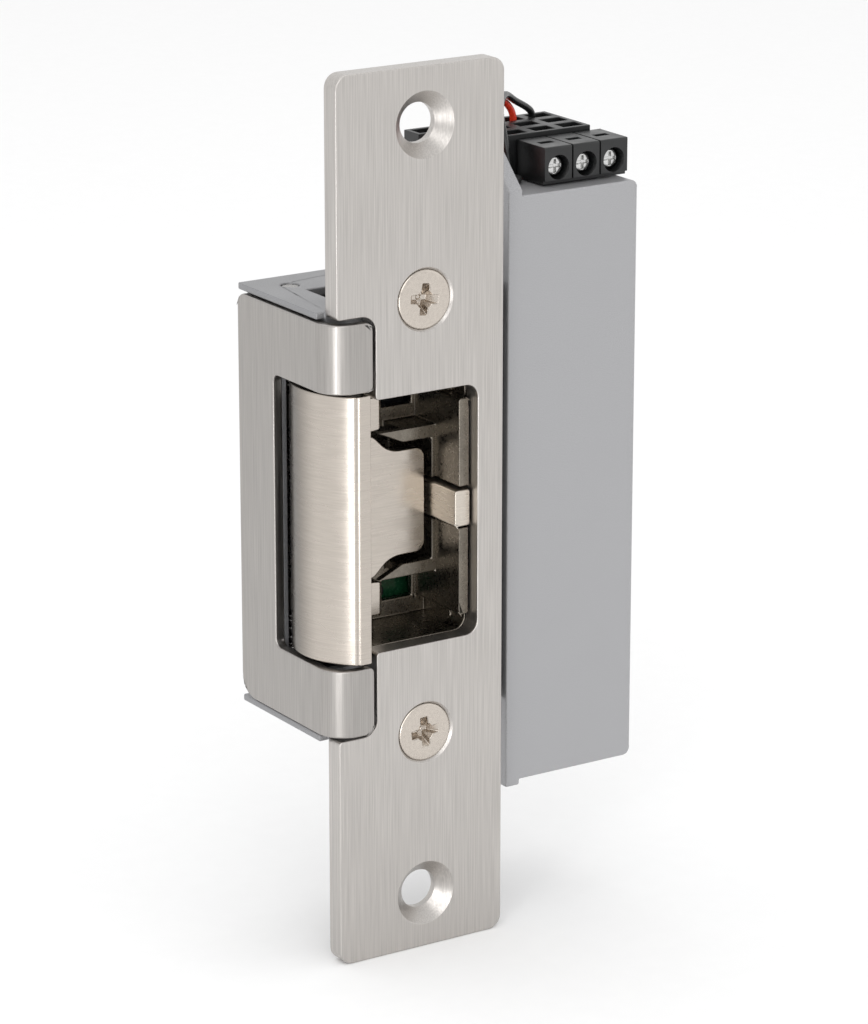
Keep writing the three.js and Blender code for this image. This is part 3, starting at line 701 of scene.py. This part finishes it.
def fibreglass_board():
    """Fibreglass laminate under green solder mask: glossy, with the weave just showing through."""
    material, tree, shader = surface("green_fibreglass_laminate", Roughness=0.22, IOR=1.55, Coat_Weight=0.4)
    if tree:
        weave = grain(tree, (0.5, 0.5, 0.5), 2)
        tint(tree, shader, weave, srgb("#1c4d31"), 0.16)
        sheen_of(tree, shader, weave, 0.16, 0.3)
        relief(tree, shader, weave, 0.01)
    return material


def black_rubber():
    """Moulded rubber: dark grey-black and dull, with a dusty bloom."""
    material, tree, shader = surface("moulded_black_rubber", Roughness=0.7, IOR=1.52)
    if tree:
        bloom = grain(tree, (0.8, 0.8, 0.8), 4)
        tint(tree, shader, bloom, srgb("#252525"), 0.2)
        sheen_of(tree, shader, bloom, 0.6, 0.8)
        relief(tree, shader, bloom, 0.01)
    return material


def lead_insulation(name, base):
    """Extruded PVC insulation: smooth and glossy, with faint lines from the die."""
    material, tree, shader = surface(name, Roughness=0.3, IOR=1.54, Coat_Weight=0.2, Coat_Roughness=0.2)
    if tree:
        lines = grain(tree, (0.5, 0.5, 2), 2)
        tint(tree, shader, lines, base, 0.08)
        sheen_of(tree, shader, lines, 0.24, 0.36)
        relief(tree, shader, lines, 0.004)
    return material


# ---------------------------------------------------------------- operators


class STRIKE_OT_faceplate(bpy.types.Operator):
    """Build the faceplate: a flat stainless plate with its notch, opening and countersunk holes."""

    bl_idname = "strike.faceplate"
    bl_label = "Faceplate"

    def execute(self, context):
        settings = context.scene.strike
        sizes = settings.plate
        low, high = (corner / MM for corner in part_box("faceplate"))
        notch_x, notch, corner = sizes.notch_x / MM, sizes.notch_half / MM, sizes.corner / MM
        right, half, inner = sizes.opening_right / MM, sizes.opening_half / MM, sizes.opening_corner / MM
        notch_corner = sizes.notch_corner / MM
        outline = rounded(
            [
                (low.x, low.z, corner),
                (high.x, low.z, corner),
                (high.x, high.z, corner),
                (low.x, high.z, corner),
                (low.x, notch, 0.8),
                (notch_x, notch, notch_corner),
                (notch_x, half, 0.6),
                (right, half, inner),
                (right, -half, inner),
                (notch_x, -half, 0.6),
                (notch_x, -notch, notch_corner),
                (low.x, -notch, 0.8),
            ]
        )
        edge = sizes.edge / MM
        plate = eased(prism("faceplate_sheet", outline, "Y", low.y, high.y), edge)
        x = sizes.hole_x / MM
        sink, hole, depth = sizes.sink_radius / MM, sizes.hole_radius / MM, low.y + sizes.sink_depth / MM
        head, shank = sizes.screw_head / MM + 0.2, sizes.screw_shank / MM + 0.3
        holes = (
            (sizes.hole_z, rim(sink - 0.1, low.y, edge * 0.7), hole, depth),
            (sizes.screw_z, rim(head + 0.12, low.y, edge * 0.5), shank, low.y + 2.9),
        )
        for _, side in UPPER_AND_LOWER:
            for height, mouth, bore, foot in holes:
                cutter = [*mouth, (bore, foot), (bore, high.y + 1)]
                z = side * height / MM
                boolean(plate, "DIFFERENCE", turned("cutter", cutter, (x, 0, z)))
        dress(plate, brushed_stainless(settings.finish), 0)
        stand_for(plate, "faceplate")
        return {"FINISHED"}


class STRIKE_OT_face_screws(bpy.types.Operator):
    """Build the two flat-head screws with tapered cross recesses."""

    bl_idname = "strike.face_screws"
    bl_label = "Face screws"

    def execute(self, context):
        settings = context.scene.strike
        sizes = settings.plate
        x = sizes.hole_x / MM
        head, shank = sizes.screw_head / MM, sizes.screw_shank / MM
        for where, side in UPPER_AND_LOWER:
            node = f"faceplate_screw_{where}"
            low, high = (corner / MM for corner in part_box(node))
            profile = [
                (head - 0.7, low.y - 0.02),
                (head - 0.25, low.y + 0.04),
                (head, low.y + 0.25),
                (shank, low.y + 2.2),
                (shank, high.y - 0.4),
                (shank - 0.4, high.y),
            ]
            z = side * sizes.screw_z / MM
            screw = turned(f"{node}_head", profile, (x, 0, z))
            boolean(screw, "DIFFERENCE", *self.recess(x, low.y, z, side))
            dress(screw, screw_nickel(settings.finish), 0.1, 3)
            stand_for(screw, node)
        return {"FINISHED"}

    def recess(self, x, face, z, side):
        """Two crossed wedges and a cone: the hollow that a cross-head driver fits."""
        tools = []
        turn = Matrix.Rotation(math.radians(6 * side), 4, "Y")
        spot = Matrix.Translation(Vector((x, 0, z)) * MM)
        long, short, wide, thin = 2.75, 1.3, 0.68, 0.45
        for across in (True, False):
            tool = bmesh.new()
            rings = []
            for y, u, v in ((face - 0.5, long + 0.25, wide + 0.08), (face + 2.0, short, thin)):
                corners = ((-u, -v), (u, -v), (u, v), (-u, v))
                spots = [(b, y, a) if across else (a, y, b) for a, b in corners]
                rings.append([tool.verts.new(Vector(p) * MM) for p in spots])
            for ring in rings:
                tool.faces.new(ring)
            walls(tool, *rings)
            made = object_from("recess_wing", tool)
            made.data.transform(spot @ turn)
            tools.append(made)
        profile = [(1.75, face - 0.5), (1.45, face + 0.4), (0.3, face + 2.3)]
        cone = turned("recess_cone", profile, (x, 0, z), sides=32)
        return [*tools, cone]


class STRIKE_OT_lip_bracket(bpy.types.Operator):
    """Build the lip bracket: a side plate bent into two front tabs round the keeper's window."""

    bl_idname = "strike.lip_bracket"
    bl_label = "Lip bracket"

    def execute(self, context):
        settings = context.scene.strike
        sizes = settings.bracket
        low, high = (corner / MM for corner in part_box("lip_bracket"))
        thick, bend = sizes.thick / MM, sizes.bend / MM
        half, back = high.z, high.y
        section = rounded(
            [
                (high.x, low.y),
                (high.x, low.y + thick),
                (low.x + thick, low.y + thick, bend - thick),
                (low.x + thick, back),
                (low.x, back),
                (low.x, low.y, bend),
            ],
            16,
        )
        bracket = prism("lip_bracket_sheet", section, "Z", -half, half)
        ends = rounded([(low.y - 5, -half), (back, -half, 4), (back, half, 2), (low.y - 5, half)], 12)
        window, stem = sizes.window_half / MM, low.x + thick + 0.4
        outer, inner = sizes.tab_outer / MM, sizes.tab_inner / MM
        tabs = rounded(
            [
                (low.x - 1, -half),
                (high.x, -half, outer),
                (high.x, -window, inner),
                (stem, -window),
                (stem, window),
                (high.x, window, inner),
                (high.x, half, outer),
                (low.x - 1, half),
            ]
        )
        boolean(
            bracket,
            "INTERSECT",
            prism("ends", ends, "X", low.x - 5, high.x + 5),
            prism("tabs", tabs, "Y", low.y - 1, back + 1),
        )
        edge, radius = sizes.window_back / MM, sizes.window_corner / MM
        opening = rounded(
            [
                (low.y - 5, -window),
                (edge, -window, radius),
                (edge, window, radius),
                (low.y - 5, window),
            ]
        )
        boolean(bracket, "DIFFERENCE", prism("window", opening, "X", low.x - 5, high.x + 5))
        # Painted shade: the bracket takes the plate's steel at 0.76 of its brightness, so that its side face
        # reads darker than the plate.
        steel = brushed_stainless(settings.finish, "brushed_stainless_bracket_painted_shade", 0.76)
        dress(bracket, steel, 0.3, 4)
        stand_for(bracket, "lip_bracket")
        return {"FINISHED"}


class STRIKE_OT_keeper(bpy.types.Operator):
    """Build the keeper: a rounded wall, a floor behind the latch, two arms and a locking hook."""

    bl_idname = "strike.keeper"
    bl_label = "Keeper"

    def execute(self, context):
        settings = context.scene.strike
        sizes = settings.keeper
        half, radius = sizes.half / MM, sizes.radius / MM
        centre, front = Vector((-5, 5.5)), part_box("keeper")[0].y / MM
        crease_x, wall_end = -12.3, math.radians(-206)
        crease = math.atan2(front - centre.y, crease_x - centre.x)
        groove = sizes.groove / MM / radius
        start, end = crease - groove, wall_end
        arc = [start + (end - start) * k / sizes.steps for k in range(sizes.steps + 1)]
        wall = [Vector((-10, front)), Vector((-12.15, front)), Vector((-12.35, front + 0.32))]
        wall += [centre + radius * Vector((math.cos(a), math.sin(a))) for a in arc]
        wall += [Vector((-14, 10.4)), Vector((-11.4, 5))]
        keeper = prism("keeper_body", wall, "Z", -half, half)
        floor = rounded(
            [
                (-12.5, -12.2),
                (-3, -12.2, 2),
                (0.2, -9, 5),
                (7, -9, 1.8),
                (7, 9, 1.8),
                (0.2, 9, 5),
                (-3, 12.2, 2),
                (-12.5, 12.2),
            ]
        )
        parts = [
            prism("floor", floor, "Y", 6.3, 8.3),
            block("root", (-12.5, -9), (6.3, 9.3), (-13.9, 13.9)),
            block("hook_stem", (1, 3.2), (7.3, 17), (-5, 5)),
            block("hook", (1, 7.7), (15, 17), (-5, 5)),
        ]
        pivot = Vector(KEEPER_PIVOT)
        arm_near, arm_far, hub, bore_radius = 12.9, 18.7, 3, 1.58
        arm = rounded(
            [
                (-14.6, 6),
                (-1.2, 6.6, 0.8),
                (-0.6, 9.5, 0.8),
                (-8.4, 20),
                pivot[:],
                (-9.6, 11, 0.6),
                (-15.4, 9.2),
            ]
        )
        for _, side in UPPER_AND_LOWER:
            near, far = side * arm_near, side * arm_far
            level = sorted((near, far))
            made = prism("arm", arm, "Z", *level)
            tip = rounded([(-20, near), (-0.6, near, 1.6), (-0.6, far, 0.5), (-20, far)])
            boolean(made, "INTERSECT", prism("tip", tip, "Y", 0, 30))
            parts += [made, turned("hub", [(hub, level[0]), (hub, level[1])], (*pivot, 0), "Z", 48)]
        boolean(keeper, "UNION", *parts)
        profile = [(bore_radius, -half - 1), (bore_radius, half + 1)]
        bore = turned("bore", profile, (*pivot, 0), "Z", 32)
        boolean(keeper, "DIFFERENCE", bore)
        dress(keeper, satin_nickel(settings.finish), sizes.edge / MM, 3)
        stand_for(keeper, "keeper")
        return {"FINISHED"}


def coil(turns, radius, start, end, place):
    """The points of a coil spring from start to end, its turns closer together towards both ends."""
    steps, squeeze = 24, 0.6
    made = []
    for k in range(turns * steps + 1):
        share = k / (turns * steps)
        rise = share - squeeze * math.sin(2 * math.pi * share) / (2 * math.pi)
        angle = 2 * math.pi * k / steps
        level = start + (end - start) * rise
        made.append(place(radius * math.cos(angle), radius * math.sin(angle), level))
    return made


class STRIKE_OT_springs(bpy.types.Operator):
    """Wind the four springs: two on the keeper's pin, one on the plunger and one on the sensor."""

    bl_idname = "strike.springs"
    bl_label = "Springs"

    def execute(self, context):
        steel = spring_steel()
        pivot = KEEPER_PIVOT
        for where, side in UPPER_AND_LOWER:
            node = f"keeper_spring_{where}"
            points = coil(6, 2.3, side * 19.6, side * 25.6, lambda u, v, w: (pivot[0] + u, pivot[1] + v, w))
            stand_for(wire(f"{node}_coil", points, 0.35, steel), node)
        low, high = (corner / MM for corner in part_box("plunger_spring"))
        middle = (low + high) / 2
        points = coil(4, 4.3, low.z + 0.3, high.z - 0.3, lambda u, v, w: (middle.x + u, middle.y + v, w))
        stand_for(wire("plunger_spring_coil", points, 0.25, steel), "plunger_spring")
        low, high = (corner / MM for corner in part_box("sensor_spring"))
        middle = (low + high) / 2
        points = coil(8, 1.3, low.y + 0.3, high.y - 0.3, lambda u, v, w: (middle.x + u, w, middle.z + v))
        stand_for(wire("sensor_spring_coil", points, 0.25, steel), "sensor_spring")
        return {"FINISHED"}


class STRIKE_OT_latch_chamber(bpy.types.Operator):
    """Finish the housing, the cast frame, the latch sensor and its switch, and fit the circuit board."""

    bl_idname = "strike.latch_chamber"
    bl_label = "Latch chamber"

    def execute(self, context):
        finish = context.scene.strike.finish
        dress(NODES["latch_housing"], silver_paint(finish, "silver_grey_housing_paint", 0.72), 0.3, 4)
        dress(NODES["latch_frame"], cast_nickel(finish), 0.28, 3)
        dress(NODES["keeper_pivot_pin"], spring_steel(), 0.25, 3)
        dress(NODES["latch_sensor_arm"], sensor_satin(), 0.3, 3)
        dress(NODES["sensor_switch"], black_nylon(finish, "moulded_black_switch_shell", 0.4), 0.3, 2)
        dress(NODES["sensor_switch_lever"], spring_steel(), 0.08, 2)
        dress(NODES["circuit_board"], fibreglass_board(), 0.08, 2)
        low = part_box("circuit_board")[0] / MM
        chips = (
            (2.6, -17.6, 2.4, 1.4),
            (8.0, -20.5, 4.2, 3.0),
            (3.4, -24.5, 2.2, 1.2),
            (10.5, -27.5, 3.2, 1.8),
        )
        for i, (x, z, width, height) in enumerate(chips):
            outline = rounded(
                [
                    (x - width / 2, z - height / 2, 0.2),
                    (x + width / 2, z - height / 2, 0.2),
                    (x + width / 2, z + height / 2, 0.2),
                    (x - width / 2, z + height / 2, 0.2),
                ],
                3,
            )
            chip = prism(f"board_chip_{i + 1}", outline, "Y", low.y - 0.9, low.y - 0.02)
            dress(chip, black_nylon(finish, "moulded_chip_epoxy", 0.45), 0.1, 2)
            added(chip, "strike_body")
        return {"FINISHED"}


class STRIKE_OT_lock_mechanism(bpy.types.Operator):
    """Finish the locking slider, the rocker, the plunger, the yoke and the coil."""

    bl_idname = "strike.lock_mechanism"
    bl_label = "Lock mechanism"

    def execute(self, context):
        finish = context.scene.strike.finish
        dress(NODES["locking_slider"], spring_steel(), 0.2, 2)
        dress(NODES["rocker"], sensor_satin(), 0.15, 2)
        dress(NODES["rocker_pin"], spring_steel(), 0.15, 2)
        dress(NODES["plunger"], screw_nickel(finish), 0.25, 2)
        dress(NODES["solenoid_yoke"], zinc_sheet(), 0.25, 2)
        dress(NODES["coil_bobbin"], natural_nylon(), 0.15, 2)
        dress(NODES["coil_winding"], enamelled_copper(), 0.1, 2)
        return {"FINISHED"}


class STRIKE_OT_solenoid_case(bpy.types.Operator):
    """Finish the painted case, its rear cover, lugs, rivets, screws and the lead grommet."""

    bl_idname = "strike.solenoid_case"
    bl_label = "Solenoid case"

    def execute(self, context):
        finish = context.scene.strike.finish
        paint = silver_paint(finish)
        dress(NODES["solenoid_case"], paint, 0.35, 4)
        dress(NODES["case_rear_cover"], paint, 0.2, 2)
        dress(NODES["case_grommet"], black_rubber(), 0.25, 3)
        for where, _ in UPPER_AND_LOWER:
            dress(NODES[f"case_rivet_{where}"], screw_nickel(finish), 0.3, 3)
            dress(NODES[f"cover_lug_{where}"], zinc_sheet(), 0.2, 2)
            dress(NODES[f"cover_screw_{where}"], screw_nickel(finish), 0.15, 2)
        return {"FINISHED"}


class STRIKE_OT_terminals(bpy.types.Operator):
    """Finish the terminal plug and header, and build the clamping screws."""

    bl_idname = "strike.terminals"
    bl_label = "Terminals"

    def execute(self, context):
        finish = context.scene.strike.finish
        dress(NODES["terminal_plug"], black_nylon(finish), 0.09, 3)
        dress(NODES["terminal_header"], black_nylon(finish, "moulded_black_header_nylon", 0.38), 0.12, 3)
        for i in range(3):
            node = f"terminal_screw_{i + 1}"
            low, high = (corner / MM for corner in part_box(node))
            middle = (low + high) / 2
            radius = (high.x - low.x) / 2
            profile = [
                (radius - 0.7, low.y - 0.06),
                (radius - 0.3, low.y),
                (radius, low.y + 0.3),
                (radius, high.y),
            ]
            screw = turned(f"{node}_head", profile, middle, sides=40)
            arm, slot, depth = 1.15, 0.26, (low.y - 1, low.y + 0.55)
            long_x, thin_x = ((middle.x - half, middle.x + half) for half in (arm, slot))
            long_z, thin_z = ((middle.z - half, middle.z + half) for half in (arm, slot))
            boolean(
                screw,
                "DIFFERENCE",
                block("slot", long_x, depth, thin_z),
                block("slot", thin_x, depth, long_z),
            )
            dress(screw, bright_zinc(), 0.06, 2)
            stand_for(screw, node)
        return {"FINISHED"}


# The points that each lead runs through, from the coil up and over into its well in the header.
LEAD_ROUTES = {
    "red": (
        (32.9, 5.2, 32.4),
        (30.9, 4.6, 36.5),
        (25.6, 7.4, 42),
        (24.3, 9.5, 46.8),
        (24.3, 9.5, 51.5),
        (24, 10.4, 57),
        (24.6, 14.6, 60.8),
        (28.2, 19.4, 62),
        (32.6, 22.2, 61.2),
        (34.5, 22.8, 59.8),
        (35.3, 22.9, 58.2),
        (35.4, 22.9, 56.2),
    ),
    "black": (
        (35.2, 5, 32.4),
        (33, 4.2, 37),
        (27.6, 6.8, 42.5),
        (25.7, 9.5, 46.8),
        (25.7, 9.5, 51.5),
        (25.4, 10.4, 57),
        (27.2, 14.6, 61.4),
        (31.7, 20, 62.6),
        (35.2, 22.1, 60.9),
        (38.9, 22.9, 58.6),
        (39.1, 22.9, 56.2),
    ),
}


class STRIKE_OT_leads(bpy.types.Operator):
    """Run the coil's two leads from the coil through the grommet into the header."""

    bl_idname = "strike.leads"
    bl_label = "Coil leads"

    def execute(self, context):
        finish = context.scene.strike.finish
        skins = {
            "red": lead_insulation("red_pvc_insulation", finish.red),
            "black": lead_insulation("black_pvc_insulation", finish.nylon),
        }
        for name, route in LEAD_ROUTES.items():
            node = f"coil_lead_{name}"
            stand_for(wire(f"{node}_wire", through(route), 0.6, skins[name]), node)
        return {"FINISHED"}


class STRIKE_OT_stage(bpy.types.Operator):
    """Lay the pale floor, hang the soft lights and set up the camera."""

    bl_idname = "strike.stage"
    bl_label = "Stage"

    def execute(self, context):
        sizes = context.scene.strike.stage
        self.floor(CAD_BOUNDS[0].z)
        self.lights(context)
        self.world(context, sizes.world)
        self.camera(context, sizes)
        context.scene.view_settings.view_transform = "Standard"
        return {"FINISHED"}

    def floor(self, height):
        """A wide pale floor that the strike's lower end stands on."""
        material, tree, shader = surface("matt_white_paper", Roughness=0.9)
        if tree:
            fibres = grain(tree, (4, 4, 4), 3)
            tint(tree, shader, fibres, srgb("#f4f4f4"), 0.004)
        reach = 3000
        outline = [(-reach, -reach), (reach, -reach), (reach, reach), (-reach, reach)]
        floor = prism("studio_floor", outline, "Z", height / MM - 10, height / MM)
        floor.data.materials.append(material)

    def lights(self, context):
        """Soft boxes: a key, a weak fill, one overhead and a narrow strip for the line on round metal."""
        boxes = (
            ("key_box", (-0.55, -0.75, 0.65), (0.7, 0.7), 2.4),
            ("fill_box", (0.9, -0.7, 0.35), (0.8, 0.8), 0.5),
            ("top_box", (0.1, 0.25, 0.95), (0.8, 0.8), 1.2),
            ("strip_box", (-0.155, -0.125, -0.018), (0.03, 0.11), 0.07),
        )
        for name, place, size, watts in boxes:
            data = bpy.data.lights.new(name, "AREA")
            data.shape = "RECTANGLE"
            data.size, data.size_y = size
            data.energy = watts
            lamp = bpy.data.objects.new(name, data)
            lamp.location = place
            lamp.rotation_euler = (-Vector(place)).to_track_quat("-Z", "Y").to_euler()
            lamp.visible_camera = False
            context.scene.collection.objects.link(lamp)

    def world(self, context, strength):
        """Plain white studio walls."""
        world = bpy.data.worlds.new("studio_walls")
        world.use_nodes = True
        background = world.node_tree.nodes["Background"]
        background.inputs["Color"].default_value = (1, 1, 1, 1)
        background.inputs["Strength"].default_value = strength
        context.scene.world = world

    def camera(self, context, sizes):
        """A long lens from the front left, a little above."""
        turn, rise = sizes.azimuth, sizes.elevation
        right = Vector((math.cos(turn), -math.sin(turn), 0))
        back = Vector((-math.sin(turn) * math.cos(rise), -math.cos(turn) * math.cos(rise), math.sin(rise)))
        up = back.cross(right)
        aim = (3.991 * right + 0.435 * up) * MM
        data = bpy.data.cameras.new("studio_camera")
        data.lens = sizes.lens
        data.sensor_width = 36
        camera = bpy.data.objects.new("studio_camera", data)
        camera.matrix_world = Matrix.Translation(aim + back * sizes.distance) @ Matrix(
            (right, up, back)
        ).transposed().to_4x4()
        context.scene.collection.objects.link(camera)
        context.scene.camera = camera


class STRIKE_PT_panel(bpy.types.Panel):
    """The strike's operators and settings in the sidebar."""

    bl_idname = "STRIKE_PT_panel"
    bl_label = "Electric Door Strike"
    bl_space_type = "VIEW_3D"
    bl_region_type = "UI"
    bl_category = "Strike"

    def draw(self, context):
        for operator in OPERATORS:
            self.layout.operator(operator.bl_idname)
        for group in ("plate", "bracket", "keeper", "finish", "stage"):
            box = self.layout.box()
            settings = getattr(context.scene.strike, group)
            for name in settings.__annotations__:
                box.prop(settings, name)


OPERATORS = (
    STRIKE_OT_stage,
    STRIKE_OT_faceplate,
    STRIKE_OT_face_screws,
    STRIKE_OT_lip_bracket,
    STRIKE_OT_keeper,
    STRIKE_OT_springs,
    STRIKE_OT_latch_chamber,
    STRIKE_OT_lock_mechanism,
    STRIKE_OT_solenoid_case,
    STRIKE_OT_terminals,
    STRIKE_OT_leads,
)
CLASSES = (
    STRIKE_PG_plate,
    STRIKE_PG_bracket,
    STRIKE_PG_keeper,
    STRIKE_PG_finish,
    STRIKE_PG_stage,
    STRIKE_PG_settings,
    *OPERATORS,
    STRIKE_PT_panel,
)


def register():
    """Registers the classes and puts the settings on the scene."""
    for kind in CLASSES:
        bpy.utils.register_class(kind)
    bpy.types.Scene.strike = PointerProperty(type=STRIKE_PG_settings)


def unregister():
    """Takes the settings off the scene and unregisters the classes."""
    del bpy.types.Scene.strike
    for kind in reversed(CLASSES):
        bpy.utils.unregister_class(kind)


def main():
    """Builds the whole strike."""
    register()
    for operator in OPERATORS:
        group, name = operator.bl_idname.split(".")
        getattr(getattr(bpy.ops, group), name)()


if __name__ == "__main__":
    main()
